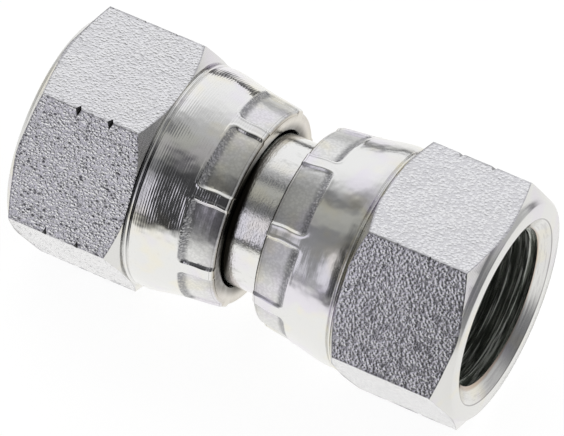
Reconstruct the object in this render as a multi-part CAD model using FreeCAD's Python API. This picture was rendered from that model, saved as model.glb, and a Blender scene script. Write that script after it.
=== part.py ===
import FreeCAD, Part
import math
import os

# Straight hydraulic adapter with a swivel nut on each end, in millimetres.
# The axis of the fitting is X, +Z is up, and the origin is on the axis, midway between the mouths.
# Each nut lies on one of its wrench flats. Radii that follow each other are tied by walls and clearances.

# Thread of the nut, G 1/2: only its minor diameter is cut here
thread_major_diameter = 20.955
thread_height = 0.9775
mouth_flare = 0.8525
countersink_depth = 1.35
relief_clearance = 0.1725
relief_length = 9.4

# Hexagon of the nut. The wall under the flats gives 27 mm across them.
wall_under_flats = 3.0225
hexagon_length = 15.0
corner_notch_depth = 0.5
corner_notch_width = 0.9
corner_notch_places = (6.2, 10.3)

# Ends of the hexagon: a turned cone at each end, and the raised washer face at the mouth
washer_face_inset = 0.15
washer_face_height = 0.55
mouth_cone_angle = 25.5
rim_height = 0.35
rear_cone_angle = 33.0

# Turned collar behind the hexagon, which the crimping pulls in to the skirt
collar_length = 11.0
collar_wall = 2.7
collar_straight_length = 1.6
root_groove_count = 2
root_groove_pitch = 0.56
root_groove_depth = 0.22
crimped_wall = 1.95
skirt_wall = 2.3
skirt_edge_bevel = 0.32

# Press marks of the crimping dies around the skirt
die_count = 8
die_arc = 38.0
die_first_angle = 21.0
die_reach = 4.45
die_step_length = 0.95
die_mark_depth = 0.28

# Conical seat inside the skirt, pressed behind the nipple's retaining collar
seat_depth = 0.85
seat_angle = 45.0
seat_distance = 4.6

# Nipple that both nuts turn on
skirt_gap = 5.0
neck_clearance = 0.5
swivel_clearance = 0.25
retaining_collar_length = 4.0
nose_clearance = 0.35
nose_land_length = 2.0
nose_tip_wall = 1.0
nose_cone_half_angle = 30.0
neck_wall = 3.3

# Sizes that follow from the ones above
major_radius = thread_major_diameter / 2.0
minor_radius = major_radius - thread_height
relief_radius = major_radius + relief_clearance
skirt_bore_radius = relief_radius - seat_depth
flat_radius = major_radius + wall_under_flats
corner_radius = flat_radius / math.cos(math.radians(30.0))
skirt_end = skirt_gap / 2.0
shoulder = skirt_end + collar_length
mouth = shoulder + hexagon_length
seat_start = skirt_end + seat_distance
seat_end = seat_start + seat_depth / math.tan(math.radians(seat_angle))
die_end = skirt_end + die_reach
collar_radius = relief_radius + collar_wall
crimped_radius = relief_radius + crimped_wall
skirt_radius = skirt_bore_radius + skirt_wall
neck_radius = skirt_bore_radius - neck_clearance
flow_bore_radius = neck_radius - neck_wall
beyond = 1.0

origin = FreeCAD.Vector(0, 0, 0)
x_axis = FreeCAD.Vector(1, 0, 0)
z_axis = FreeCAD.Vector(0, 0, 1)


def turned(corners, angle=360.0):
    """Solid of revolution about X, from the (x, radius) corners of its half section."""
    outline = [FreeCAD.Vector(x, 0, radius) for x, radius in corners]
    face = Part.Face(Part.makePolygon(outline + outline[:1]))
    return face.revolve(origin, x_axis, angle)


def hexagon_prism(start, end):
    """Bar with two flats facing up and down."""
    corners = []
    for k in range(7):
        angle = math.radians(60.0 * k)
        corners.append(FreeCAD.Vector(start, corner_radius * math.cos(angle), corner_radius * math.sin(angle)))
    face = Part.Face(Part.makePolygon(corners))
    return face.extrude(FreeCAD.Vector(end - start, 0, 0))


def corner_notch(x):
    """Ring with a V section that only nicks the six corners."""
    bottom = corner_radius - corner_notch_depth
    top = corner_radius + beyond
    half_width = corner_notch_width / 2.0 * (top - bottom) / corner_notch_depth
    return turned([(x, bottom), (x + half_width, top), (x - half_width, top)])


def nut_head():
    """Hexagon with a turned cone at each end and the raised washer face at the mouth."""
    outer = corner_radius + beyond
    rim_radius = flat_radius + rim_height
    washer_radius = flat_radius - washer_face_inset
    washer_back = mouth - washer_face_height
    mouth_cone_end = washer_back - (outer - washer_radius) * math.tan(math.radians(mouth_cone_angle))
    rear_cone_end = shoulder + (outer - rim_radius) * math.tan(math.radians(rear_cone_angle))
    envelope = turned([
        (shoulder, 0),
        (shoulder, rim_radius),
        (rear_cone_end, outer),
        (mouth_cone_end, outer),
        (washer_back, washer_radius),
        (mouth, washer_radius),
        (mouth, 0),
    ])
    head = envelope.common(hexagon_prism(shoulder - beyond, mouth + beyond))
    for place in corner_notch_places:
        head = head.cut(corner_notch(mouth - place))
    return head


def collar_profile():
    """Outside of the collar and skirt, from the grooved root to the edge of the skirt."""
    groove_radius = collar_radius - root_groove_depth
    grooves_end = shoulder - root_groove_pitch * (root_groove_count - 0.5)
    profile = [(shoulder + beyond, groove_radius)]
    for k in range(root_groove_count):
        profile.append((shoulder - root_groove_pitch * k, groove_radius))
        profile.append((shoulder - root_groove_pitch * (k + 0.5), collar_radius))
    profile.append((grooves_end - collar_straight_length, collar_radius))
    profile.append((die_end, crimped_radius))
    profile.append((skirt_end + skirt_edge_bevel, skirt_radius))
    profile.append((skirt_end, skirt_radius - skirt_edge_bevel))
    return profile


def collar_and_skirt():
    """Turned collar that narrows to the crimped skirt."""
    return turned([(skirt_end, 0), (shoulder + beyond, 0)] + collar_profile())


def nut_bore():
    """Everything that is hollow in the nut, from the skirt's end to the mouth."""
    relief_end = seat_end + relief_length
    thread_back = relief_end + relief_radius - minor_radius
    thread_front = mouth - countersink_depth
    mouth_radius = major_radius + mouth_flare
    return turned([
        (skirt_end - beyond, 0),
        (skirt_end - beyond, skirt_bore_radius),
        (seat_start, skirt_bore_radius),
        (seat_end, relief_radius),
        (relief_end, relief_radius),
        (thread_back, minor_radius),
        (thread_front, minor_radius),
        (mouth, mouth_radius),
        (mouth + beyond, mouth_radius),
        (mouth + beyond, 0),
    ])


def die_mark(angle):
    """What one crimping die presses away: a shallow floor with a ramp at its inner end."""
    ramp_foot = die_end - die_step_length
    start = skirt_end - beyond
    outside = crimped_radius + beyond
    fall = (crimped_radius - skirt_radius) / (die_reach - skirt_edge_bevel)

    def floor(x):
        return crimped_radius - die_mark_depth - fall * (die_end - x)

    sector = turned([
        (die_end, crimped_radius),
        (die_end, outside),
        (start, outside),
        (start, floor(start)),
        (ramp_foot, floor(ramp_foot)),
    ], die_arc)
    sector.rotate(origin, x_axis, 90.0 - angle - die_arc / 2.0)
    return sector


def swivel_nut():
    """The nut whose mouth faces +X. Die angles are counted from -Y towards +Z."""
    nut = nut_head().fuse(collar_and_skirt())
    nut = nut.cut(nut_bore())
    for k in range(die_count):
        nut = nut.cut(die_mark(die_first_angle + 360.0 / die_count * k))
    return nut.removeSplitter()


def nipple_half():
    """Outside of the nipple from its neck to the tip of the nose, as (x, radius) pairs."""
    retaining_radius = relief_radius - swivel_clearance
    nose_radius = minor_radius - nose_clearance
    tip_radius = flow_bore_radius + nose_tip_wall
    run_per_rise = 1.0 / math.tan(math.radians(seat_angle))
    back_off = swivel_clearance / math.sin(math.radians(seat_angle))
    cone_foot = seat_start + back_off
    neck_end = cone_foot - neck_clearance * run_per_rise
    collar_back = cone_foot + (retaining_radius - skirt_bore_radius) * run_per_rise
    collar_front = collar_back + retaining_collar_length
    cone_start = collar_front + nose_land_length
    tip = cone_start + (nose_radius - tip_radius) / math.tan(math.radians(nose_cone_half_angle))
    return [
        (neck_end, neck_radius),
        (collar_back, retaining_radius),
        (collar_front, retaining_radius),
        (collar_front, nose_radius),
        (cone_start, nose_radius),
        (tip, tip_radius),
        (tip, flow_bore_radius),
    ]


def connector_body():
    """Nipple with a retaining collar and a cone nose at each end, and the flow bore."""
    half = nipple_half()
    other_half = [(-x, radius) for x, radius in reversed(half)]
    return turned(half + other_half)


def export(node, shape):
    solid = shape.Solids[0]
    print(node, "solids", len(shape.Solids), "valid", shape.isValid(), "volume", round(solid.Volume, 1))
    solid.exportStep("parts/" + node + ".step")


os.makedirs("parts", exist_ok=True)
right_nut = swivel_nut()
left_nut = right_nut.copy()
left_nut.rotate(origin, z_axis, 180.0)
export("connector_body", connector_body())
export("swivel_nut_left", left_nut)
export("swivel_nut_right", right_nut)
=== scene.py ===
import math

import bmesh
import bpy
from mathutils import Matrix, Vector
from mathutils.noise import noise as noise3


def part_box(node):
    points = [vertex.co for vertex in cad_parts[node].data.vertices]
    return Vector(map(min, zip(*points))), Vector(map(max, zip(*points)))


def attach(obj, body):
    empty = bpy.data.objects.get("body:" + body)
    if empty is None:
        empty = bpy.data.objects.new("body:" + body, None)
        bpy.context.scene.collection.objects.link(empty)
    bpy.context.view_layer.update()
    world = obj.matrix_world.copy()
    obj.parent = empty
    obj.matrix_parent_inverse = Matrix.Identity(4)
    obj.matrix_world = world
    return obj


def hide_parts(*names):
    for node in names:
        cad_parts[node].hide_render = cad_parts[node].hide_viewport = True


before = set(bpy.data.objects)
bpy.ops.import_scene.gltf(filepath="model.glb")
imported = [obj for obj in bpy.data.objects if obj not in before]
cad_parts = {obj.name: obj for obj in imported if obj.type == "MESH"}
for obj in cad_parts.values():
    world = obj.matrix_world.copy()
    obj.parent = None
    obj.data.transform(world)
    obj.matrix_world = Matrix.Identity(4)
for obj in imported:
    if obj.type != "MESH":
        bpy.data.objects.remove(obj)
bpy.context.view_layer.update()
scene = bpy.context.scene


# Studio
# A white table under the fitting, a dark room behind the camera, a grey ceiling, a bright back wall
# and a soft window at front left. The metal shows them; the camera itself only sees white.

plain = (1.0, 1.0, 1.0)
slate = (0.985, 0.99, 1.03)
olive = (1.02, 1.02, 0.95)


def grey(level, tint=plain):
    """A grey of this level, tinted a little."""
    return tuple(level * part for part in tint) + (1.0,)


def feed(tree, value, socket):
    """Links another node's output to an input, or gives the input a plain value."""
    if isinstance(value, bpy.types.NodeSocket):
        tree.links.new(value, socket)
    else:
        socket.default_value = value


def add_node(tree, kind, inputs=None, **settings):
    """One shader node, with its settings and with values or links for its inputs."""
    node = tree.nodes.new(kind)
    for name, value in settings.items():
        setattr(node, name, value)
    for name, value in (inputs or {}).items():
        feed(tree, value, node.inputs[name])
    return node


def maths(tree, operation, a, b=0.0, c=0.0, clamp=False):
    """One step of arithmetic on up to three values."""
    inputs = {0: a, 1: b, 2: c}
    return add_node(tree, "ShaderNodeMath", inputs, operation=operation, use_clamp=clamp).outputs[0]


def times(tree, first, *others):
    """The product of two or more values."""
    for value in others:
        first = maths(tree, "MULTIPLY", first, value)
    return first


def soft_step(tree, value, start, end, low=0.0, high=1.0):
    """Goes smoothly from low to high while value goes from start to end."""
    inputs = {"Value": value, "From Min": start, "From Max": end, "To Min": low, "To Max": high}
    return add_node(tree, "ShaderNodeMapRange", inputs, interpolation_type="SMOOTHSTEP").outputs["Result"]


def blend(tree, factor, a, b):
    """Colour a, mixed with colour b by factor."""
    node = add_node(tree, "ShaderNodeMix", {"Factor": factor}, data_type="RGBA")
    feed(tree, a, node.inputs[6])
    feed(tree, b, node.inputs[7])
    return node.outputs[2]


def split_axes(tree, vector):
    """The X, Y and Z parts of a vector."""
    return add_node(tree, "ShaderNodeSeparateXYZ", {0: vector}).outputs


def empty_material(name):
    """A material without nodes, and its tree."""
    material = bpy.data.materials.new(name)
    material.use_nodes = True
    material.node_tree.nodes.clear()
    return material, material.node_tree


def studio_card(name, size, tilt, middle, material):
    """A rectangle of the studio, tilted about X and set in its place."""
    mesh = bpy.data.meshes.new(name)
    bm = bmesh.new()
    bmesh.ops.create_grid(bm, x_segments=1, y_segments=1, size=0.5)
    bmesh.ops.scale(bm, vec=(*size, 1.0), verts=bm.verts)
    turn = Matrix.Rotation(math.radians(tilt), 3, "X")
    bmesh.ops.rotate(bm, verts=bm.verts, cent=(0, 0, 0), matrix=turn)
    bmesh.ops.translate(bm, verts=bm.verts, vec=middle)
    bm.to_mesh(mesh)
    bm.free()
    mesh.materials.append(material)
    card = bpy.data.objects.new(name, mesh)
    scene.collection.objects.link(card)
    return card


white = grey(1.0)
table_glow = 0.90
table_shade = 0.25
table_size = 3.0
table_gap = 0.00002
table_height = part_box("swivel_nut_left")[0].z - table_gap

paper, tree = empty_material("white_table")
glow = add_node(tree, "ShaderNodeEmission", {"Color": white, "Strength": table_glow})
matt = add_node(tree, "ShaderNodeBsdfDiffuse", {"Color": grey(table_shade)})
both = add_node(tree, "ShaderNodeAddShader", {0: glow.outputs[0], 1: matt.outputs[0]})
add_node(tree, "ShaderNodeOutputMaterial", {"Surface": both.outputs[0]})
floor = studio_card("floor", (table_size, table_size), 0.0, (0.0, 0.0, table_height), paper)
floor.visible_glossy = False

window_lilac = (0.84, 0.82, 0.90, 1.0)
window_left = -0.152
window_right = -0.0435
window_low = -0.016
window_high = 0.210
window_distance = 0.2
fade_left = 0.040
fade_right = 0.009
fade_low = 0.03
fade_high = 0.090

pane, tree = empty_material("window_light")
where = split_axes(tree, add_node(tree, "ShaderNodeTexCoord").outputs["Object"])
across = times(
    tree,
    soft_step(tree, where["X"], window_left, window_left + fade_left),
    soft_step(tree, where["X"], window_right - fade_right, window_right, 1.0, 0.0),
)
upward = times(
    tree,
    soft_step(tree, where["Z"], window_low, window_low + fade_low),
    soft_step(tree, where["Z"], window_high - fade_high, window_high, 1.0, 0.0),
)
glow = add_node(tree, "ShaderNodeEmission", {"Color": window_lilac, "Strength": 1.0})
clear = add_node(tree, "ShaderNodeBsdfTransparent")
share = times(tree, across, upward)
both = add_node(tree, "ShaderNodeMixShader", {0: share, 1: clear.outputs[0], 2: glow.outputs[0]})
add_node(tree, "ShaderNodeOutputMaterial", {"Surface": both.outputs[0]})

window_size = (window_right - window_left, window_high - window_low)
window_middle = ((window_left + window_right) / 2, -window_distance, (window_low + window_high) / 2)
window = studio_card("window_card", window_size, 90.0, window_middle, pane)
window.visible_camera = False
window.visible_diffuse = False
window.visible_shadow = False

# Levels of the room by height in degrees: 0 is behind the camera, 90 overhead and 180 the back wall.
room_straight_ahead = [
    (0, 0.05, slate), (50, 0.05, slate), (64, 0.14, plain), (76, 0.38, olive), (88, 0.44, olive),
    (103, 0.50, plain), (122, 0.68, plain), (133, 0.86, plain), (146, 0.94, plain), (165, 0.98, plain),
]
room_on_the_left = [
    (0, 0.04, slate), (20, 0.07, slate), (38, 0.24, slate), (54, 0.21, slate), (66, 0.40, olive),
    (80, 0.44, olive), (92, 0.16, slate), (104, 0.42, plain), (117, 0.90, plain), (132, 1.00, plain),
]
far_left_grey = grey(0.27, slate)
right_grey = grey(0.55, plain)
far_right_grey = grey(0.20, slate)
table_white = (1.0, 0.995, 0.975, 1.0)

# Where each part of the room begins and where it is full, by a direction's X or Z, or by its height.
left_side = (-0.12, -0.33)
far_left_side = (-0.42, -0.55)
far_left_height = (60.0, 38.0)
right_side = (0.35, 0.60)
far_right_side = (0.80, 0.95)
below_horizon = (-0.05, -0.29)


def room_ramp(tree, height, stops):
    """Brightness of the room from behind the camera, over the ceiling, to the back wall."""
    node = add_node(tree, "ShaderNodeValToRGB", {"Fac": maths(tree, "DIVIDE", height, 180.0, clamp=True)})
    ramp = node.color_ramp
    ramp.interpolation = "EASE"
    while len(ramp.elements) < len(stops):
        ramp.elements.new(0.5)
    for element, (degrees, level, tint) in zip(ramp.elements, stops):
        element.position = degrees / 180.0
        element.color = grey(level, tint)
    return node.outputs["Color"]


world = bpy.data.worlds.new("studio")
scene.world = world
world.use_nodes = True
tree = world.node_tree
tree.nodes.clear()
direction = split_axes(tree, add_node(tree, "ShaderNodeTexCoord").outputs["Generated"])
toward_camera = times(tree, direction["Y"], -1.0)
height = maths(tree, "DEGREES", maths(tree, "ARCTAN2", direction["Z"], toward_camera))

studio = blend(
    tree,
    soft_step(tree, direction["X"], *left_side),
    room_ramp(tree, height, room_straight_ahead),
    room_ramp(tree, height, room_on_the_left),
)
far_left = times(
    tree,
    soft_step(tree, direction["X"], *far_left_side),
    soft_step(tree, height, *far_left_height),
)
studio = blend(tree, far_left, studio, far_left_grey)
studio = blend(tree, soft_step(tree, direction["X"], *right_side), studio, right_grey)
studio = blend(tree, soft_step(tree, direction["X"], *far_right_side), studio, far_right_grey)
studio = blend(tree, soft_step(tree, direction["Z"], *below_horizon), studio, table_white)
seen = add_node(tree, "ShaderNodeLightPath").outputs["Is Camera Ray"]
sky = blend(tree, seen, studio, white)
background = add_node(tree, "ShaderNodeBackground", {"Color": sky, "Strength": 1.0})
add_node(tree, "ShaderNodeOutputWorld", {"Surface": background.outputs[0]})


# Camera
# A long lens from the front, right and above, fitted to the corners of the two hexagons. The roll and
# the small shift set the fitting in the frame.

view_azimuth = math.radians(26.70)
view_elevation = math.radians(48.53)
view_roll = math.radians(2.39)
view_distance = 0.8287
view_shift = Vector((0.00010, 0.00004))
focal_pixels = 7306.4
photo_width = 564
sensor_width = 36.0

away = Vector((
    math.sin(view_azimuth) * math.cos(view_elevation),
    -math.cos(view_azimuth) * math.cos(view_elevation),
    math.sin(view_elevation),
))
level_right = Vector((math.cos(view_azimuth), math.sin(view_azimuth), 0.0))
level_up = away.cross(level_right)
view_right = level_right * math.cos(view_roll) + level_up * math.sin(view_roll)
view_up = level_up * math.cos(view_roll) - level_right * math.sin(view_roll)
stand = away * view_distance - view_right * view_shift.x - view_up * view_shift.y

camera_data = bpy.data.cameras.new("camera")
camera_data.sensor_fit = "HORIZONTAL"
camera_data.sensor_width = sensor_width
camera_data.lens = focal_pixels / photo_width * sensor_width
camera_data.clip_start = 0.05
camera_data.clip_end = 20.0
camera = bpy.data.objects.new("camera", camera_data)
scene.collection.objects.link(camera)
aim = Matrix((view_right, view_up, away)).transposed().to_4x4()
camera.matrix_world = Matrix.Translation(stand) @ aim
scene.camera = camera
scene.view_settings.view_transform = "Standard"


# Nipple
# One turned steel piece that both nuts turn on: a neck, a retaining collar and a 60 degree cone nose
# at each end, and the flow bore through it. Sizes are in millimetres until the mesh is finished.

millimetre = 0.001
sharp_from = math.radians(30.0)
nipple_steps = 192

neck_radius = 9.3
retaining_radius = 10.4
land_radius = 9.15
bore_radius = 6.0
nose_end = 17.7775
half_nipple = [
    (6.90, neck_radius),
    (7.05, neck_radius + 0.05),
    (8.00, 10.32),
    (8.12, retaining_radius),
    (11.80, retaining_radius),
    (12.05, 10.2),
    (12.05, land_radius),
    (14.05, land_radius),
    (17.60, 7.10),
    (nose_end, 6.85),
    (nose_end, 6.3),
    (17.55, bore_radius),
]


def lathe(bm, outline, steps, pitch=0.0):
    """Turns an outline of (x, radius) points round the X axis. A pitch makes it a screw."""
    start = [bm.verts.new((x, -radius, 0.0)) for x, radius in outline]
    edges = [bm.edges.new(pair) for pair in zip(start, start[1:])]
    if pitch == 0.0:
        edges.append(bm.edges.new((start[-1], start[0])))
    bmesh.ops.spin(
        bm,
        geom=start + edges,
        cent=(0, 0, 0),
        axis=(1, 0, 0),
        dvec=(pitch / steps, 0, 0),
        angle=math.tau,
        steps=steps,
        use_merge=pitch == 0.0,
    )
    bmesh.ops.remove_doubles(bm, verts=bm.verts, dist=1e-3)


def make_piece(name, bm, body, node, materials):
    """Makes the finished piece, which rides on its body in place of its CAD node."""
    bmesh.ops.recalc_face_normals(bm, faces=bm.faces)
    bmesh.ops.scale(bm, vec=(millimetre,) * 3, verts=bm.verts)
    mesh = bpy.data.meshes.new(name)
    bm.to_mesh(mesh)
    bm.free()
    for material in materials:
        mesh.materials.append(material)
    mesh.polygons.foreach_set("use_smooth", [True] * len(mesh.polygons))
    mesh.set_sharp_from_angle(angle=sharp_from)
    piece = bpy.data.objects.new(name, mesh)
    scene.collection.objects.link(piece)
    shading = piece.modifiers.new("even_shading", "WEIGHTED_NORMAL")
    shading.keep_sharp = True
    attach(piece, body)
    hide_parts(node)
    return piece


def new_material(name):
    """A bare metal: the material, its tree, its shader and its Object coordinates."""
    material, tree = empty_material(name)
    shader = add_node(tree, "ShaderNodeBsdfPrincipled")
    add_node(tree, "ShaderNodeOutputMaterial", {"Surface": shader.outputs[0]})
    shader.inputs["Metallic"].default_value = 1.0
    place = add_node(tree, "ShaderNodeTexCoord").outputs["Object"]
    return material, tree, shader, place


def new_effect(name, inputs, outputs):
    """An empty node group with named sockets, and its input and output sockets."""
    group = bpy.data.node_groups.new(name, "ShaderNodeTree")
    for socket, kind, value in inputs:
        made = group.interface.new_socket(name=socket, in_out="INPUT", socket_type="NodeSocket" + kind)
        if kind == "Float":
            made.default_value = value
    for socket, kind in outputs:
        group.interface.new_socket(name=socket, in_out="OUTPUT", socket_type="NodeSocket" + kind)
    start = group.nodes.new("NodeGroupInput")
    end = group.nodes.new("NodeGroupOutput")
    return group, start.outputs, end.inputs


def place_effect(tree, group, inputs):
    """Puts an effect into a material, with this material's own values."""
    node = tree.nodes.new("ShaderNodeGroup")
    node.node_tree = group
    for name, value in inputs.items():
        feed(tree, value, node.inputs[name])
    return node.outputs


def stretch(tree, place, along, across):
    """Object coordinates with a scale along the fitting's axis and another across it."""
    return add_node(tree, "ShaderNodeMapping", {"Vector": place, "Scale": (along, across, across)}).outputs[0]


def noise(tree, vector, scale, detail=2.0, rough=0.5, **more):
    """Cloudy noise from 0 to 1."""
    inputs = {"Vector": vector, "Scale": scale, "Detail": detail, "Roughness": rough}
    return add_node(tree, "ShaderNodeTexNoise", inputs, **more).outputs["Fac"]


def roughen(tree, shader, height, depth):
    """Gives the shader a bumpy surface from a height."""
    bump = add_node(tree, "ShaderNodeBump", {"Height": height, "Distance": depth, "Strength": 1.0})
    feed(tree, bump.outputs[0], shader.inputs["Normal"])


# Rings that a turning tool leaves: a regular wave, and streaks that run round the metal.
streak_stretch = 330.0
streaks_per_ring = 1.9

tool_rings, given, result = new_effect(
    "tool_rings",
    [
        ("Place", "Vector", None),
        ("Along", "Float", 0.0),
        ("Pitch", "Float", 0.0003),
        ("Regular", "Float", 0.5),
    ],
    [("Height", "Float"), ("Streaks", "Float")],
)
turns = maths(tool_rings, "DIVIDE", given["Along"], given["Pitch"])
wave = maths(tool_rings, "SINE", times(tool_rings, turns, math.tau))
spread = split_axes(tool_rings, stretch(tool_rings, given["Place"], 1.0, streak_stretch))
streak_place = add_node(
    tool_rings,
    "ShaderNodeCombineXYZ",
    {"X": times(tool_rings, turns, streaks_per_ring), "Y": spread["Y"], "Z": spread["Z"]},
)
streaks = noise(tool_rings, streak_place.outputs[0], 1.0, 3.0, 0.6)
regular = times(tool_rings, wave, given["Regular"])
feed(tool_rings, maths(tool_rings, "ADD", regular, streaks), result["Height"])
feed(tool_rings, streaks, result["Streaks"])

# The zinc plating: grey, with warm and lilac clouds and fine dark specks.
zinc_grey = (0.82, 0.82, 0.815, 1.0)
zinc_warm = (0.85, 0.825, 0.74, 1.0)
zinc_lilac = (0.80, 0.775, 0.835, 1.0)
speck_grey = (0.45, 0.44, 0.43, 1.0)
speck_share = 0.22
warm_clouds = 260.0
lilac_clouds = 190.0
speck_scale = 3200.0

zinc_tint, given, result = new_effect(
    "zinc_tint",
    [("Place", "Vector", None), ("Amount", "Float", 1.0)],
    [("Color", "Color")],
)
warm = soft_step(zinc_tint, noise(zinc_tint, given["Place"], warm_clouds), 0.50, 0.68)
other_clouds = noise(zinc_tint, given["Place"], lilac_clouds, noise_dimensions="4D")
lilac = soft_step(zinc_tint, other_clouds, 0.50, 0.66)
tint = blend(zinc_tint, times(zinc_tint, warm, given["Amount"]), zinc_grey, zinc_warm)
tint = blend(zinc_tint, times(zinc_tint, lilac, given["Amount"]), tint, zinc_lilac)
specks = soft_step(zinc_tint, noise(zinc_tint, given["Place"], speck_scale, 3.0, 0.7), 0.60, 0.74)
tint = blend(zinc_tint, times(zinc_tint, specks, speck_share), tint, speck_grey)
feed(zinc_tint, tint, result["Color"])

# How far out a point lies on the upper front side of the fitting, where the painted shade reaches furthest.
shade_up = 0.55
shade_front = 0.83

shade_side, given, result = new_effect("shade_side", [("Place", "Vector", None)], [("Reach", "Float")])
at = split_axes(shade_side, given["Place"])
upper = times(shade_side, at["Z"], shade_up)
rear = times(shade_side, at["Y"], shade_front)
feed(shade_side, maths(shade_side, "SUBTRACT", upper, rear), result["Reach"])

# The nipple's zinc: bright, with faint rings and smears, and painted shade where its neck goes in under the
# skirts. The painted shade starts nearer the middle on the upper front side.
smear_grey = (0.36, 0.36, 0.34, 1.0)
gap_painted_shade = (0.05, 0.048, 0.042, 1.0)
gap_reach = (0.0045, 0.0090)
gap_start = (0.00235, 0.00155)
gap_width = 0.0006
crosswise_share = 1.6
neck_ring_pitch = 0.00030
neck_bumps = 0.000011
neck_roughness = 0.09

neck_zinc, tree, shader, place = new_material("neck_zinc")
along = split_axes(tree, place)["X"]
out_along = maths(tree, "ABSOLUTE", along)
ring_values = {"Place": place, "Along": along, "Pitch": neck_ring_pitch, "Regular": 0.04}
rings = place_effect(tree, tool_rings, ring_values)
reach = place_effect(tree, shade_side, {"Place": place})["Reach"]
color = place_effect(tree, zinc_tint, {"Place": place, "Amount": 0.7})["Color"]
smears = soft_step(tree, noise(tree, stretch(tree, place, 0.5, 1.0), 900.0, 3.0, 0.65), 0.52, 0.74, 0.0, 0.35)
color = blend(tree, smears, color, smear_grey)
# Painted shade: the neck is darkened where it enters the gap under each skirt.
shade_start = soft_step(tree, reach, *gap_reach, *gap_start)
shade_end = maths(tree, "ADD", shade_start, gap_width)
color = blend(tree, soft_step(tree, out_along, shade_start, shade_end), color, gap_painted_shade)
feed(tree, color, shader.inputs["Base Color"])
shader.inputs["Roughness"].default_value = neck_roughness
crosswise = noise(tree, stretch(tree, place, 1.0, 0.7), 4200.0, 2.0, 0.6)
height = maths(tree, "MULTIPLY_ADD", crosswise, crosswise_share, rings["Height"])
roughen(tree, shader, height, neck_bumps)

bm = bmesh.new()
lathe(bm, half_nipple + [(-x, radius) for x, radius in reversed(half_nipple)], nipple_steps)
make_piece("nipple", bm, "nipple", "connector_body", [neck_zinc])


# Swivel nuts
# Each nut is one steel piece: a forged hexagon with a turned cone at both ends, a turned collar that
# eight dies crimp down behind the nipple's collar, and a tapped bore. Both are the same, end for end.

# The turned outline, from the skirt's mouth in through the bore, round the head and back to the skirt.
flat_radius = 13.5
blank_radius = 16.6
countersink_radius = 11.36
relief_radius = 10.65
tapping_radius = 9.5
nut_end = 28.5

bore_outline = [
    (2.95, 9.6),
    (3.6, 9.8),
    (7.1, 9.8),
    (7.95, relief_radius),
    (17.35, relief_radius),
    (18.5, tapping_radius),
    (27.15, tapping_radius),
    (28.33, 11.12),
    (28.42, 11.24),
    (nut_end, countersink_radius),
]
head_outline = [
    (nut_end, 13.10),
    (28.46, 13.22),
    (28.36, 13.33),
    (28.04, 13.58),
    (27.86, 13.76),
    (27.70, 14.00),
    (26.48, blank_radius),
    (15.30, blank_radius),
    (13.52, 13.88),
    (13.47, 13.80),
]
root_outline = [
    (13.45, 13.22),
    (13.30, 13.16),
    (13.24, 13.38),
    (13.18, 13.46),
    (13.05, 13.48),
    (12.97, 13.40),
    (12.91, 13.20),
    (12.78, 13.18),
    (12.70, 13.32),
    (12.63, 13.38),
]
collar_curve = [
    (12.60, 13.39), (11.6, 13.43), (10.8, 13.34), (10.0, 13.2), (8.9, 12.97), (7.5, 12.70),
    (6.95, 12.58), (5.2, 12.38), (3.8, 12.23), (2.85, 12.08),
]
skirt_edge = [
    (2.76, 12.04), (2.65, 11.96), (2.57, 11.84), (2.52, 11.68), (2.5, 11.48),
    (2.53, 10.6), (2.60, 10.0), (2.72, 9.7),
]
collar_step = 0.4
die_zone_end = 7.45
die_zone_step = 0.11


def collar_radius(x):
    """Radius of the collar before the dies close on it."""
    for (xa, ra), (xb, rb) in zip(collar_curve, collar_curve[1:]):
        if xb <= x <= xa:
            return ra + (rb - ra) * (xa - x) / (xa - xb)
    return collar_curve[-1][1]


def collar_outline():
    """The collar in wide steps where it is plain, and in narrow ones where the dies press it."""
    skirt_end = collar_curve[-1][0]
    places = []
    x = collar_curve[0][0] - collar_step
    while x > die_zone_end:
        places.append(x)
        x -= collar_step
    x = die_zone_end
    while x > skirt_end:
        places.append(x)
        x -= die_zone_step
    places.append(skirt_end)
    return [(x, collar_radius(x)) for x in places]


# The eight dies. They reach in from the skirt's end, and each leaves a ramp there. Arcs are in degrees,
# counted from -Y towards +Z, and every die is shifted, wavered and skewed a little differently.
die_count = 8
die_spacing = 360.0 / die_count
first_die = 21.0
die_half_arc = 19.0
die_reach = 6.95
die_ramp = 0.95
die_depth = 0.28
die_corner = 0.7
die_wall = 0.36
die_wall_top = 0.04
die_shifts = (0.0, 0.14, -0.10, 0.06, -0.05, 0.12, -0.12, 0.04)
die_waver = 0.05
die_skew = 0.012
skirt_radius = 12.4
skirt_skin = 11.5

# The lip that the dies squeeze up along their edges: where it rises, falls and ends.
lip_height = 0.045
lip_rise = (-0.1, 0.08)
lip_fall = (0.14, 0.42)
lip_end = (0.1, 0.5)


def nearest_die(phi):
    """Number of the nearest die, and the degrees from its middle."""
    number = round((phi - first_die) / die_spacing)
    return number % die_count, phi - first_die - number * die_spacing


def smooth(value, start, end):
    """Goes smoothly from 0 to 1 while value goes from start to end."""
    t = min(max((value - start) / (end - start), 0.0), 1.0)
    return t * t * (3 - 2 * t)


def past_die(x, phi):
    """Millimetres outside the nearest die's rounded outline: sideways, lengthways and the nearest way."""
    number, offset = nearest_die(phi)
    wave = die_waver * math.sin(2.1 * x + 5.0 * number + (1.0 if offset > 0 else 0.0))
    sideways = math.radians(abs(offset) - die_half_arc) * skirt_radius + wave
    skew = die_skew * offset * math.sin(3.0 * number + 1.0)
    lengthways = x - die_reach - die_shifts[number] - skew
    u = sideways + die_corner
    v = lengthways + die_corner
    nearest = min(max(u, v), 0.0) + math.hypot(max(u, 0.0), max(v, 0.0)) - die_corner
    return sideways, lengthways, nearest


def pressed(x, phi):
    """How far a point of the skirt is pressed in, from 0 to 1."""
    sideways, lengthways, nearest = past_die(x, phi)
    return (1.0 - smooth(nearest, -die_wall, die_wall_top)) * smooth(lengthways, 0.0, -die_ramp)


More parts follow.
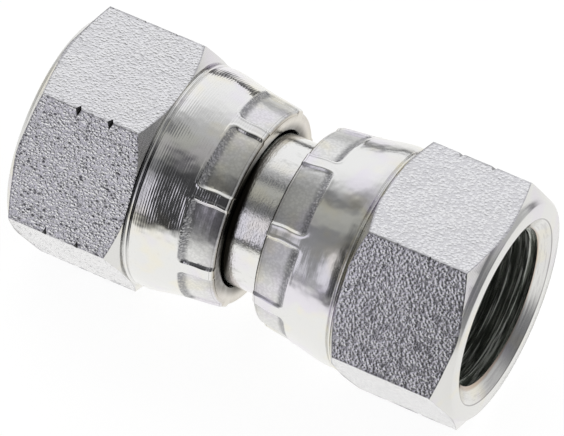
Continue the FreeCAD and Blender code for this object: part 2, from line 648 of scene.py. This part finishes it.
def squeezed(x, phi):
    """Metal that the dies squeeze up along their edges, from 0 to 1."""
    sideways, lengthways, nearest = past_die(x, phi)
    along_wall = smooth(nearest, *lip_rise) * (1.0 - smooth(nearest, *lip_fall))
    return along_wall * (1.0 - smooth(lengthways, *lip_end))


# Steps of the lathe for each die: half of them lie on each side of its middle, first those on its
# floor, then those crowded on its edge, and the rest on the rib between two dies.
steps_per_die = 60
floor_steps = 14.0
edge_steps = 12
edge_arc = 3.0


def crowd_steps(phi):
    """Moves evenly spread steps of the lathe so that more of them fall on the edges of the dies."""
    half_spacing = die_spacing / 2
    half_steps = steps_per_die / 2
    edge_start = die_half_arc - edge_arc / 2
    edge_end = die_half_arc + edge_arc / 2
    offset = (phi - first_die + half_spacing) % die_spacing - half_spacing
    step = abs(offset) / half_spacing * half_steps
    if step <= floor_steps:
        spread = step / floor_steps * edge_start
    elif step <= floor_steps + edge_steps:
        spread = edge_start + (step - floor_steps) / edge_steps * edge_arc
    else:
        rib_steps = half_steps - floor_steps - edge_steps
        spread = edge_end + (step - floor_steps - edge_steps) / rib_steps * (half_spacing - edge_end)
    return phi - offset + math.copysign(spread, offset)


def polar(place):
    """Degrees round the axis, and the distance from it."""
    return math.degrees(math.atan2(place.z, -place.y)), math.hypot(place.y, place.z)


def set_polar(place, phi, radius):
    """Puts a point at these degrees round the axis and at this distance from it."""
    place.y = -radius * math.cos(math.radians(phi))
    place.z = radius * math.sin(math.radians(phi))


def crimp(bm):
    """Presses the eight dies into the skirt, and squeezes metal up along their edges."""
    for v in bm.verts:
        phi, radius = polar(v.co)
        phi = crowd_steps(phi)
        if v.co.x < die_zone_end and radius > skirt_skin:
            radius += lip_height * squeezed(v.co.x, phi) - die_depth * pressed(v.co.x, phi)
        set_polar(v.co, phi, radius)


# Finishes of the nut's faces, by the number of their material.
turned, forged, head_turned, oiled, nicked = range(5)


def flat_directions():
    """For each of the six flats, the direction straight out of it and the one across it."""
    for k in range(6):
        angle = math.radians(30.0 + 60.0 * k)
        outward = Vector((0.0, -math.cos(angle), math.sin(angle)))
        sideways = Vector((0.0, math.sin(angle), math.cos(angle)))
        yield outward, sideways


def cut_off(bm, place, outward):
    """Cuts away what lies past a plane, and closes the cut with a new face."""
    cut = bmesh.ops.bisect_plane(
        bm,
        geom=bm.verts[:] + bm.edges[:] + bm.faces[:],
        dist=1e-5,
        plane_co=place,
        plane_no=outward,
        clear_outer=True,
    )
    rim = [e for e in cut["geom_cut"] if isinstance(e, bmesh.types.BMEdge)]
    return bmesh.ops.contextual_create(bm, geom=rim)["faces"]


def mill_flats(bm):
    """Mills the six flats, one after the other."""
    for outward, sideways in flat_directions():
        for face in cut_off(bm, outward * flat_radius, outward):
            face.material_index = forged


# The hexagon's corners are rounded more than the arcs where its flats meet the cones.
corner_round = 0.28
corner_segments = 3
arc_round = 0.11
arc_segments = 2


def edges_of_flats(bm, between_flats):
    """The corners between two flats, or else the arcs where a flat ends at a cone."""
    found = []
    for edge in bm.edges:
        finishes = [face.material_index for face in edge.link_faces]
        if len(finishes) != 2 or forged not in finishes:
            continue
        if finishes != [forged, forged]:
            if not between_flats:
                found.append(edge)
        elif between_flats and edge.calc_face_angle() > 0.5:
            found.append(edge)
    return found


def round_off(bm, edges, width, segments):
    """Rounds some edges."""
    bmesh.ops.bevel(
        bm,
        geom=edges,
        offset=width,
        affect="EDGES",
        segments=segments,
        profile=0.5,
        material=-1,
        clamp_overlap=True,
    )


net_spacing = 0.5
net_along = (13.8, 28.2)
net_across = (-7.6, 7.6)


def net_flats(bm):
    """Divides each flat by a net of cuts, so that its forged surface can be uneven."""
    for outward, sideways in flat_directions():
        faces = [f for f in bm.faces if f.material_index == forged and f.normal.dot(outward) > 0.999]
        parts = list(faces)
        for face in faces:
            parts += face.edges
            parts += face.verts
        geom = list(dict.fromkeys(parts))
        for direction, (first, last) in ((Vector((1, 0, 0)), net_along), (sideways, net_across)):
            place = first
            while place < last:
                cut = bmesh.ops.bisect_plane(
                    bm,
                    geom=geom,
                    dist=1e-4,
                    plane_co=direction * place,
                    plane_no=direction,
                )
                geom = cut["geom"]
                place += net_spacing


# The forged flats are sunk a little, with slow waves and quicker ones over them.
forged_sink = 0.03
slow_waves = 0.35
slow_depth = 0.035
quick_waves = 1.1
quick_depth = 0.028
quick_shift = Vector((7.0, 3.0, 5.0))


def dent_flats(bm):
    """Lets the forged flats and their edges rise and sink a little."""
    for vert in bm.verts:
        if any(face.material_index == forged for face in vert.link_faces):
            slow = noise3(vert.co * slow_waves) * slow_depth
            quick = noise3(vert.co * quick_waves + quick_shift) * quick_depth
            outward = Vector((0.0, vert.co.y, vert.co.z)).normalized()
            vert.co += outward * (slow + quick - forged_sink)


# The G 1/2 thread: one turn of its profile, as shares of the pitch, and where the tap cuts.
thread_pitch = 1.814
thread_root = 9.3155
thread_major = 10.4775
thread_round = 0.12
thread_profile = (
    (0.0, thread_root),
    (0.0833, thread_root),
    (0.3750, thread_major - thread_round),
    (0.4300, thread_major),
    (0.5700, thread_major),
    (0.6250, thread_major - thread_round),
    (0.9167, thread_root),
)
tap_start = 14.0
tap_turns = 11
tap_steps = 120
tap_ends = ((16.6, -1.0), (27.4, 1.0))
tap_turn = math.radians(-100.0)


def thread_tap():
    """The tap that cuts the thread, as a closed screw."""
    outline = []
    for k in range(tap_turns):
        x = tap_start + thread_pitch * k
        outline += [(x + thread_pitch * share, radius) for share, radius in thread_profile]
    bm = bmesh.new()
    lathe(bm, outline, tap_steps, thread_pitch)
    bmesh.ops.rotate(bm, verts=bm.verts, cent=(0, 0, 0), matrix=Matrix.Rotation(tap_turn, 3, "X"))
    for x, side in tap_ends:
        cut_off(bm, (x, 0, 0), (side, 0, 0))
    for face in bm.faces:
        face.material_index = oiled
    return bm


# Two nicks are struck into each of the six corners.
nick_places = (22.3, 18.2)
nick_depths = (0.26, 0.20, 0.40, 0.34, 0.35, 0.35)
nick_lean = math.radians(8.0)
chisel_length = 5.2
chisel_flank = 2.0


def nick_cutters():
    """Chisels that strike the six corners of the hexagon, leaning to one flat and then to the other."""
    bm = bmesh.new()
    corner = flat_radius / math.cos(math.radians(30.0))
    for k, depth in enumerate(nick_depths):
        point = corner - depth
        back = corner - depth + chisel_flank
        for x in nick_places:
            profile = ((x, point), (x + chisel_flank, back), (x - chisel_flank, back))
            tip = [bm.verts.new((along, -out, -chisel_length / 2)) for along, out in profile]
            made = bmesh.ops.extrude_face_region(bm, geom=[bm.faces.new(tip)])["geom"]
            moved = [v for v in made if isinstance(v, bmesh.types.BMVert)]
            bmesh.ops.translate(bm, verts=moved, vec=(0.0, 0.0, chisel_length))
            lean = Matrix.Rotation(-nick_lean if k % 2 == 0 else nick_lean, 3, "X")
            bmesh.ops.rotate(bm, verts=tip + moved, cent=(0, -corner, 0), matrix=lean)
            turn = Matrix.Rotation(math.radians(-60.0 * k), 3, "X")
            bmesh.ops.rotate(bm, verts=tip + moved, cent=(0, 0, 0), matrix=turn)
    for face in bm.faces:
        face.material_index = nicked
    return bm


def as_object(bm, name):
    """A scratch object for the Boolean cuts."""
    bmesh.ops.recalc_face_normals(bm, faces=bm.faces)
    mesh = bpy.data.meshes.new(name)
    bm.to_mesh(mesh)
    bm.free()
    thing = bpy.data.objects.new(name, mesh)
    scene.collection.objects.link(thing)
    return thing


def machined(bm, cutters):
    """Takes the cutters' shapes out of the part, one after the other."""
    blank = as_object(bm, "blank")
    tools = [as_object(cutter, "tool") for cutter in cutters]
    for tool in tools:
        step = blank.modifiers.new("cut", "BOOLEAN")
        step.operation = "DIFFERENCE"
        step.solver = "EXACT"
        step.material_mode = "INDEX"
        step.object = tool
    depsgraph = bpy.context.evaluated_depsgraph_get()
    done = bpy.data.meshes.new_from_object(blank.evaluated_get(depsgraph))
    for thing in [blank] + tools:
        mesh = thing.data
        bpy.data.objects.remove(thing)
        bpy.data.meshes.remove(mesh)
    bm = bmesh.new()
    bm.from_mesh(done)
    bpy.data.meshes.remove(done)
    return bm


# Where the oiled bore ends and the turned head begins.
head_start = 13.4
oiled_radius = 10.9
oiled_span = (2.7, 28.2)
countersink_start = 27.0
countersink_inner = 9.6


def sort_faces(bm):
    """Gives each face its finish: turned collar, forged flat, turned head, oiled bore or struck nick."""
    for face in bm.faces:
        if face.material_index in (forged, oiled, nicked):
            continue
        middle = face.calc_center_median()
        radius = math.hypot(middle.y, middle.z)
        outward = (face.normal.y * middle.y + face.normal.z * middle.z) / max(radius, 0.1)
        in_bore = radius < oiled_radius and outward < 0.2 and oiled_span[0] < middle.x < oiled_span[1]
        in_countersink = radius >= countersink_inner and middle.x >= countersink_start
        if in_bore and not in_countersink:
            face.material_index = oiled
        elif middle.x > head_start:
            face.material_index = head_turned
        else:
            face.material_index = turned


bm = bmesh.new()
turned_outline = bore_outline + head_outline + root_outline + collar_outline() + skirt_edge
lathe(bm, turned_outline, steps_per_die * die_count)
crimp(bm)
mill_flats(bm)
round_off(bm, edges_of_flats(bm, between_flats=True), corner_round, corner_segments)
round_off(bm, edges_of_flats(bm, between_flats=False), arc_round, arc_segments)
net_flats(bm)
dent_flats(bm)
bm = machined(bm, [thread_tap(), nick_cutters()])
bmesh.ops.remove_doubles(bm, verts=bm.verts, dist=1e-4)
sort_faces(bm)
left_bm = bm.copy()
end_for_end = Matrix.Rotation(math.pi, 3, "Z")
bmesh.ops.rotate(left_bm, verts=left_bm.verts, cent=(0, 0, 0), matrix=end_for_end)


# Forged skin: worn domes, fine grain between them, and pits that are thickest on the front flats.
dome_share = 0.60
dome_reach = 0.8
fine_share = 0.75
fine_scale = 1.6
pits_per_metre = 1550.0
pit_edge = (0.50, 0.37)
pit_crook = 0.35
pit_patches = 420.0
front_side = (-0.0072, -0.0086)
pits_elsewhere = 0.2


def cells(tree, vector, scale):
    """Distance to the middle of the nearest cell."""
    inputs = {"Vector": vector, "Scale": scale}
    return add_node(tree, "ShaderNodeTexVoronoi", inputs, feature="F1").outputs["Distance"]


forge_grain, given, result = new_effect(
    "forge_grain",
    [("Place", "Vector", None), ("Size", "Float", 0.0004)],
    [("Height", "Float"), ("Pits", "Float")],
)
per_grain = maths(forge_grain, "DIVIDE", 1.0, given["Size"])
longways = stretch(forge_grain, given["Place"], 0.8, 1.0)
domes = soft_step(forge_grain, cells(forge_grain, longways, per_grain), 0.0, dome_reach, 1.0, 0.0)
fine = noise(forge_grain, longways, times(forge_grain, per_grain, fine_scale), 2.0, 0.55)
skin = maths(forge_grain, "MULTIPLY_ADD", domes, dome_share, times(forge_grain, fine, fine_share))
feed(forge_grain, skin, result["Height"])
pit_turn = {"Vector": given["Place"], "Rotation": (0.4, 0.0, 0.3), "Scale": (0.8, 1.0, 1.3)}
pit_place = add_node(forge_grain, "ShaderNodeMapping", pit_turn).outputs[0]
pits = cells(forge_grain, pit_place, pits_per_metre)
crooked = maths(forge_grain, "MULTIPLY_ADD", fine, pit_crook, pits)
pitted = soft_step(forge_grain, noise(forge_grain, given["Place"], pit_patches, 3.0), 0.38, 0.54)
# The pits are thinned away from the front side, where the light shows them darkest; flat_metal paints shade
# into them.
front = split_axes(forge_grain, given["Place"])["Y"]
pitted = times(forge_grain, pitted, soft_step(forge_grain, front, *front_side, pits_elsewhere, 1.0))
pits = times(forge_grain, pitted, soft_step(forge_grain, crooked, *pit_edge))
feed(forge_grain, pits, result["Pits"])

# Dark lines along the hexagon's corners and along the arcs where its flats meet the two cones. Each
# cone is given by its slope and by one point of it, all in metres.
rear_slope = 1.528
rear_point = (0.01352, 0.01388)
mouth_slope = 2.148
mouth_point = (0.02797, 0.01340)
corner_line_degrees = (28.8, 29.7)
arc_line_reach = (0.00045, 0.00012)
ragged_share = (0.25, 0.9)


def from_axis(tree, place):
    """Distance from the fitting's axis, in metres."""
    across = stretch(tree, place, 0.0, 1.0)
    return add_node(tree, "ShaderNodeVectorMath", {0: across}, operation="LENGTH").outputs["Value"]


hex_edges, given, result = new_effect("hex_edges", [("Place", "Vector", None)], [("Lines", "Float")])
at = split_axes(hex_edges, given["Place"])
around = maths(hex_edges, "DEGREES", maths(hex_edges, "ARCTAN2", at["Z"], at["Y"]))
from_middle = maths(hex_edges, "SUBTRACT", maths(hex_edges, "FLOORED_MODULO", around, 60.0), 30.0)
corner_line = soft_step(hex_edges, maths(hex_edges, "ABSOLUTE", from_middle), *corner_line_degrees)
ragged = soft_step(hex_edges, noise(hex_edges, given["Place"], 700.0), 0.35, 0.62, *ragged_share)
corner_line = times(hex_edges, corner_line, ragged)
out_along = maths(hex_edges, "ABSOLUTE", at["X"])
rear_foot = rear_point[1] - rear_point[0] * rear_slope
rear_cone = maths(hex_edges, "MULTIPLY_ADD", out_along, rear_slope, rear_foot)
mouth_foot = mouth_point[1] + mouth_point[0] * mouth_slope
mouth_cone = maths(hex_edges, "MULTIPLY_ADD", out_along, -mouth_slope, mouth_foot)
radius = from_axis(hex_edges, given["Place"])
inside_cones = maths(hex_edges, "SUBTRACT", maths(hex_edges, "MINIMUM", rear_cone, mouth_cone), radius)
arc_line = soft_step(hex_edges, inside_cones, *arc_line_reach)
feed(hex_edges, maths(hex_edges, "MAXIMUM", corner_line, arc_line), result["Lines"])


# The collar's zinc, with the marks of the dies, and painted shade in its root grooves and on the skirt's end
# beside the gap.
collar_ring_pitch = 0.0003
collar_grain = 0.0003
rib_start = (0.0062, 0.0078)
rib_rings = 0.3
floor_calm = -0.75
waver_scale = 330.0
waver_depth = 16.0
shear_depth = 6.0
low_grain = (0.75, 0.45)
sheared_shade = (0.55, 0.85)
satin_shade = (0.0, 0.22)
step_wear = 0.1
floor_wear = 0.17
grooves = ((0.01269, 0.01298), (0.01322, 0.01347))
end_line_span = (0.00292, 0.00298)
end_line_share = 0.5
line_softness = 0.00003
rim_start = (0.00275, 0.00258)
rim_share = 0.7
groove_reach = (0.0108, 0.0130)
least_groove_shade = 0.08
skirt_reach = (0.0035, 0.0090)
skirt_shade_start = (0.0110, 0.0122)
skirt_shade_width = 0.0013
sheared_grey = (0.20, 0.20, 0.22, 1.0)
satin_grey = (0.40, 0.40, 0.40, 1.0)
groove_painted_shade = (0.06, 0.06, 0.07, 1.0)
end_line_grey = (0.25, 0.24, 0.24, 1.0)
rim_tan = (0.62, 0.57, 0.49, 1.0)
skirt_painted_shade = (0.10, 0.09, 0.075, 1.0)


def band(tree, value, start, end):
    """1 between start and end, with soft sides."""
    rise = soft_step(tree, value, start - line_softness, start + line_softness)
    fall = soft_step(tree, value, end - line_softness, end + line_softness, 1.0, 0.0)
    return times(tree, rise, fall)


def collar_metal(name, ring_share, ring_depth, roughness, tint_amount, groove_shade):
    """Turned and crimped zinc: tool rings on the collar, smooth die floors and sheared die steps."""
    material, tree, shader, place = new_material(name)
    along = split_axes(tree, place)["X"]
    out_along = maths(tree, "ABSOLUTE", along)
    radius = from_axis(tree, place)
    reach = place_effect(tree, shade_side, {"Place": place})["Reach"]
    marks = add_node(tree, "ShaderNodeAttribute", attribute_name="marks").outputs["Color"]
    marks = add_node(tree, "ShaderNodeSeparateColor", {0: marks}).outputs
    die_floor, die_step = marks["Red"], marks["Green"]
    ring_values = {"Place": place, "Along": along, "Pitch": collar_ring_pitch, "Regular": ring_share}
    rings = place_effect(tree, tool_rings, ring_values)
    grain = place_effect(tree, forge_grain, {"Place": place, "Size": collar_grain})["Height"]

    calm = maths(tree, "MULTIPLY_ADD", die_floor, floor_calm, 1.0)
    calm = times(tree, calm, soft_step(tree, out_along, *rib_start, rib_rings, 1.0))
    waver = noise(tree, place, waver_scale, 2.0, 0.55)
    height = maths(tree, "MULTIPLY_ADD", waver, waver_depth, times(tree, rings["Height"], calm))
    sheared = times(tree, grain, times(tree, die_step, shear_depth))
    roughen(tree, shader, maths(tree, "ADD", height, sheared), ring_depth)

    color = place_effect(tree, zinc_tint, {"Place": place, "Amount": tint_amount})["Color"]
    shear = times(tree, die_step, soft_step(tree, grain, *low_grain, *sheared_shade))
    color = blend(tree, shear, color, sheared_grey)
    satin = times(tree, die_floor, soft_step(tree, grain, *low_grain, *satin_shade))
    color = blend(tree, satin, color, satin_grey)
    # Painted shade in the two root grooves, strongest on the upper front side.
    groove = maths(tree, "MAXIMUM", *(band(tree, out_along, *groove) for groove in grooves))
    shade_in_groove = soft_step(tree, reach, *groove_reach, least_groove_shade, groove_shade)
    color = blend(tree, times(tree, groove, shade_in_groove), color, groove_painted_shade)
    end_line = band(tree, out_along, *end_line_span)
    color = blend(tree, times(tree, end_line, end_line_share), color, end_line_grey)
    rim = times(tree, soft_step(tree, out_along, *rim_start), rim_share)
    color = blend(tree, rim, color, rim_tan)
    # Painted shade on the skirt's end face, darker towards the gap round the neck and wider on the upper
    # front side.
    shade_start = soft_step(tree, reach, *skirt_reach, *skirt_shade_start)
    shade_end = maths(tree, "SUBTRACT", shade_start, skirt_shade_width)
    color = blend(tree, soft_step(tree, radius, shade_start, shade_end), color, skirt_painted_shade)
    feed(tree, color, shader.inputs["Base Color"])
    worn = maths(tree, "MULTIPLY_ADD", die_step, step_wear, roughness)
    feed(tree, maths(tree, "MULTIPLY_ADD", die_floor, floor_wear, worn), shader.inputs["Roughness"])
    return material


# The flats' thicker and paler zinc, with grime in its grain, painted shade in its pits and dark lines along
# its edges.
pale_zinc = (0.88, 0.88, 0.915, 1.0)
grain_grime = (0.30, 0.29, 0.34, 1.0)
pit_painted_shade = (0.10, 0.095, 0.12, 1.0)
edge_line_dark = (0.16, 0.15, 0.18, 1.0)
pale_share = 0.7
low_flat = (0.72, 0.45)
edge_share = 0.42
pit_depth = -0.7


def flat_metal(name, grain_size, grain_depth, roughness, grain_shade, pit_shade):
    """Forged and zinc plated flats: a granular skin, with painted shade in its real pits and dark lines along
    the edges.
    """
    material, tree, shader, place = new_material(name)
    grain = place_effect(tree, forge_grain, {"Place": place, "Size": grain_size})
    lines = place_effect(tree, hex_edges, {"Place": place})["Lines"]
    color = place_effect(tree, zinc_tint, {"Place": place, "Amount": 0.2})["Color"]
    color = blend(tree, pale_share, color, pale_zinc)
    low = soft_step(tree, grain["Height"], *low_flat, 0.0, grain_shade)
    color = blend(tree, low, color, grain_grime)
    # Painted shade in the pits.
    color = blend(tree, times(tree, grain["Pits"], pit_shade), color, pit_painted_shade)
    # Dark lines along the hexagon's corners and arcs.
    color = blend(tree, times(tree, lines, edge_share), color, edge_line_dark)
    feed(tree, color, shader.inputs["Base Color"])
    shader.inputs["Roughness"].default_value = roughness
    sunk = maths(tree, "MULTIPLY_ADD", grain["Pits"], pit_depth * pit_shade, grain["Height"])
    roughen(tree, shader, sunk, grain_depth)
    return material


# The turned head: the cones, the washer face and the countersunk mouth, with dark lathe lines, a dark
# rim at the mouth and a thin rust line at the thread. Radii and places are in metres.
head_ring_pitch = 0.00028
head_bumps = 0.000010
head_roughness = 0.2
head_share = 0.22
line_streaks = (0.52, 0.36)
line_share = 0.30
mouth_share = 0.7
rust_share = 0.6
head_grey = (0.45, 0.44, 0.42, 1.0)
line_grey = (0.40, 0.38, 0.40, 1.0)
mouth_grey = (0.20, 0.19, 0.19, 1.0)
rust_brown = (0.36, 0.22, 0.13, 1.0)
mouth_radius = (0.01145, 0.01140)
mouth_start = (0.0270, 0.0271)
rim_inner = (0.01124, 0.01130)
rim_outer = (0.01142, 0.01136)
rust_radius = (0.01010, 0.00980)
rust_start = (0.0269, 0.0270)

head_metal, tree, shader, place = new_material("turned_head")
out_along = maths(tree, "ABSOLUTE", split_axes(tree, place)["X"])
radius = from_axis(tree, place)
outward = maths(tree, "SUBTRACT", times(tree, out_along, 0.5), radius)
ring_values = {"Place": place, "Along": outward, "Pitch": head_ring_pitch, "Regular": 0.1}
rings = place_effect(tree, tool_rings, ring_values)
color = place_effect(tree, zinc_tint, {"Place": place, "Amount": 1.0})["Color"]
color = blend(tree, head_share, color, head_grey)
in_mouth = times(tree, soft_step(tree, radius, *mouth_radius), soft_step(tree, out_along, *mouth_start))
lathe_lines = soft_step(tree, rings["Streaks"], *line_streaks, 0.0, line_share)
color = blend(tree, times(tree, lathe_lines, in_mouth), color, line_grey)
rim = times(tree, soft_step(tree, radius, *rim_inner), soft_step(tree, radius, *rim_outer))
color = blend(tree, times(tree, rim, in_mouth, mouth_share), color, mouth_grey)
rust = times(tree, soft_step(tree, radius, *rust_radius), soft_step(tree, out_along, *rust_start))
color = blend(tree, times(tree, rust, rust_share), color, rust_brown)
feed(tree, color, shader.inputs["Base Color"])
shader.inputs["Roughness"].default_value = head_roughness
roughen(tree, shader, rings["Height"], head_bumps)


# The struck nicks.
nick_grain = 0.0003
nick_bumps = 0.00004
nick_roughness = 0.45


def nick_metal(name, shade):
    """The struck corner nicks, whose plating is thin and dull."""
    material, tree, shader, place = new_material(name)
    grain = place_effect(tree, forge_grain, {"Place": place, "Size": nick_grain})["Height"]
    darker = (shade * 0.5, shade * 0.5, shade * 0.53, 1.0)
    lighter = (shade * 1.4, shade * 1.4, shade * 1.45, 1.0)
    feed(tree, blend(tree, grain, darker, lighter), shader.inputs["Base Color"])
    shader.inputs["Roughness"].default_value = nick_roughness
    roughen(tree, shader, grain, nick_bumps)
    return material


# The thread: dark oil with bright streaks that run round it, rubbed bare on the crests.
thread_ring_pitch = 0.00045
thread_bumps = 0.000008
thread_roughness = 0.2
oil_dark = (0.30, 0.32, 0.29, 1.0)
oil_bright = (0.95, 0.96, 0.92, 1.0)
rubbed_zinc = (0.80, 0.82, 0.78, 1.0)
crest_radius = (0.00975, 0.00955)
streak_scale = 5200.0
streak_length = 0.03
bright_streaks = (0.46, 0.66)

thread_metal, tree, shader, place = new_material("oiled_thread")
ring_values = {
    "Place": place,
    "Along": split_axes(tree, place)["X"],
    "Pitch": thread_ring_pitch,
    "Regular": 0.0,
}
rings = place_effect(tree, tool_rings, ring_values)
lines = noise(tree, stretch(tree, place, 1.0, streak_length), streak_scale, 2.0, 0.6)
bright = soft_step(tree, lines, *bright_streaks)
color = blend(tree, bright, oil_dark, oil_bright)
crest = soft_step(tree, from_axis(tree, place), *crest_radius)
rubbed = times(tree, maths(tree, "MULTIPLY_ADD", crest, 0.6, 0.4), bright)
color = blend(tree, rubbed, color, rubbed_zinc)
feed(tree, color, shader.inputs["Base Color"])
feed(tree, maths(tree, "MULTIPLY_ADD", rubbed, -0.6, 0.95), shader.inputs["Metallic"])
shader.inputs["Roughness"].default_value = thread_roughness
roughen(tree, shader, rings["Height"], thread_bumps)


# Where the marks of the dies are kept for the materials: the pressed skin lies a little deeper than
# skirt_skin, and the sheared step follows a die's wall and fades on its ramp.
millimetres_per_metre = 1000.0
marked_skin = 11.3
step_across = (-0.16, 0.0)
step_along = (0.55, 1.35)


def mark_presses(mesh):
    """Keeps how much the dies pressed each point (red) and where their sheared step is (green)."""
    marks = mesh.attributes.new("marks", "FLOAT_COLOR", "POINT")
    for index, vertex in enumerate(mesh.vertices):
        x = abs(vertex.co.x) * millimetres_per_metre
        radius = math.hypot(vertex.co.y, vertex.co.z) * millimetres_per_metre
        side = 1.0 if vertex.co.x > 0 else -1.0
        phi = math.degrees(math.atan2(vertex.co.z, -vertex.co.y * side))
        die_floor = die_step = 0.0
        if x < die_zone_end and radius > marked_skin:
            sideways, lengthways, nearest = past_die(x, phi)
            die_floor = pressed(x, phi)
            die_step = (1.0 - smooth(nearest, *step_across)) * (1.0 - smooth(-lengthways, *step_along))
        marks.data[index].color = (die_floor, die_step, 0.0, 1.0)


# The right nut's collar has fainter rings and less painted shade in its grooves, and its flats have fewer
# pits with painted shade in them.
collar_right = collar_metal(
    "collar_right",
    ring_share=0.05,
    ring_depth=0.000008,
    roughness=0.18,
    tint_amount=1.0,
    groove_shade=0.15,
)
collar_left = collar_metal(
    "collar_left",
    ring_share=0.7,
    ring_depth=0.0000088,
    roughness=0.12,
    tint_amount=0.9,
    groove_shade=0.9,
)
flats_right = flat_metal(
    "flats_right",
    grain_size=0.00032,
    grain_depth=0.000052,
    roughness=0.20,
    grain_shade=0.27,
    pit_shade=0.18,
)
flats_left = flat_metal(
    "flats_left",
    grain_size=0.00030,
    grain_depth=0.000092,
    roughness=0.08,
    grain_shade=0.20,
    pit_shade=0.90,
)
nicks_right = nick_metal("nicks_right", shade=0.40)
nicks_left = nick_metal("nicks_left", shade=0.08)
right_finish = [collar_right, flats_right, head_metal, thread_metal, nicks_right]
left_finish = [collar_left, flats_left, head_metal, thread_metal, nicks_left]

right_nut = make_piece("nut_right", bm, "right_nut", "swivel_nut_right", right_finish)
left_nut = make_piece("nut_left", left_bm, "left_nut", "swivel_nut_left", left_finish)
for nut in (right_nut, left_nut):
    mark_presses(nut.data)
